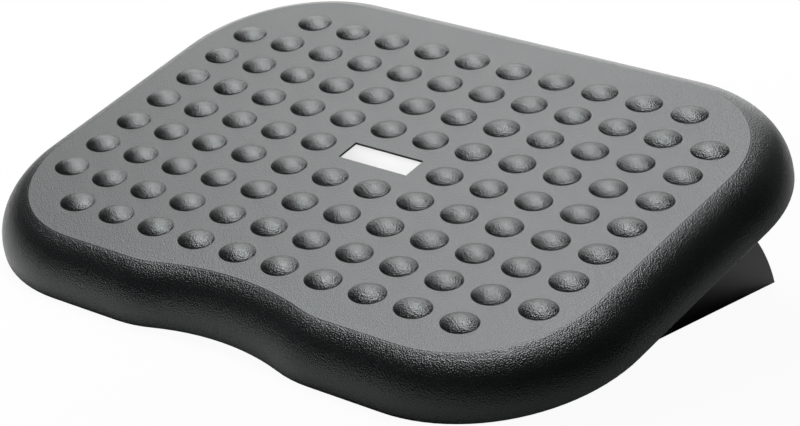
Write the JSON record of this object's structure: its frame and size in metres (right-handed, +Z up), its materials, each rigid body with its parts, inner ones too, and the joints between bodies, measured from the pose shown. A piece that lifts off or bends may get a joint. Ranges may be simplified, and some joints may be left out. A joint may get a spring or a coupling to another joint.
{
  "type": "tilting footrest",
  "caption": "Under-desk footrest: a domed platform with a rounded rim and a scooped front edge, tilting on two arched side legs.",
  "frame": {"origin": "on the floor, in the middle of the footprint", "axes": "+X to the right, across the platform; +Y towards the raised straight edge; +Z up"},
  "size_m": [0.455, 0.3206, 0.124],
  "materials": {
    "platform_plastic": "charcoal polypropylene with a fine moulded pebble grain, satin",
    "leg_plastic": "smooth black moulded plastic, satin",
    "label": "plain white, satin, bare",
    "cap_plastic": "black moulded plastic, satin",
    "bush_nylon": "natural nylon",
    "plug_plastic": "black nylon",
    "tube_steel": "black powder coat, satin",
    "screw_steel": "zinc plated",
    "friction_fibre": "pressed fibre, matt",
    "foot_rubber": "black rubber, matt",
    "pad_rubber": "black rubber, matt"
  },
  "bodies": {
    "base": {"right_leg": "leg_plastic", "left_leg": "leg_plastic", "axle_tube": "tube_steel", "front_stretcher": "tube_steel", "rear_stretcher": "tube_steel", "axle_plugs": "plug_plastic", "stretcher_plugs": "plug_plastic", "leg_screws": "screw_steel", "leg_washers": "screw_steel", "right_friction_washer": "friction_fibre", "left_friction_washer": "friction_fibre", "right_front_pad": "pad_rubber", "right_rear_pad": "pad_rubber", "left_front_pad": "pad_rubber", "left_rear_pad": "pad_rubber"},
    "tilting_platform": {"platform": "platform_plastic", "label_inlay": "label", "right_bearing_cap": "cap_plastic", "left_bearing_cap": "cap_plastic", "cap_screws": "screw_steel", "right_bush": "bush_nylon", "left_bush": "bush_nylon", "right_platform_foot": "foot_rubber", "left_platform_foot": "foot_rubber"}
  },
  "joints": [
    {"name": "platform_tilt", "type": "hinge", "parent": "base", "child": "tilting_platform", "pos_m": [0, 0.04617, 0.06205], "axis": [-1, 0, 0], "range_deg": [0, 34]}
  ]
}
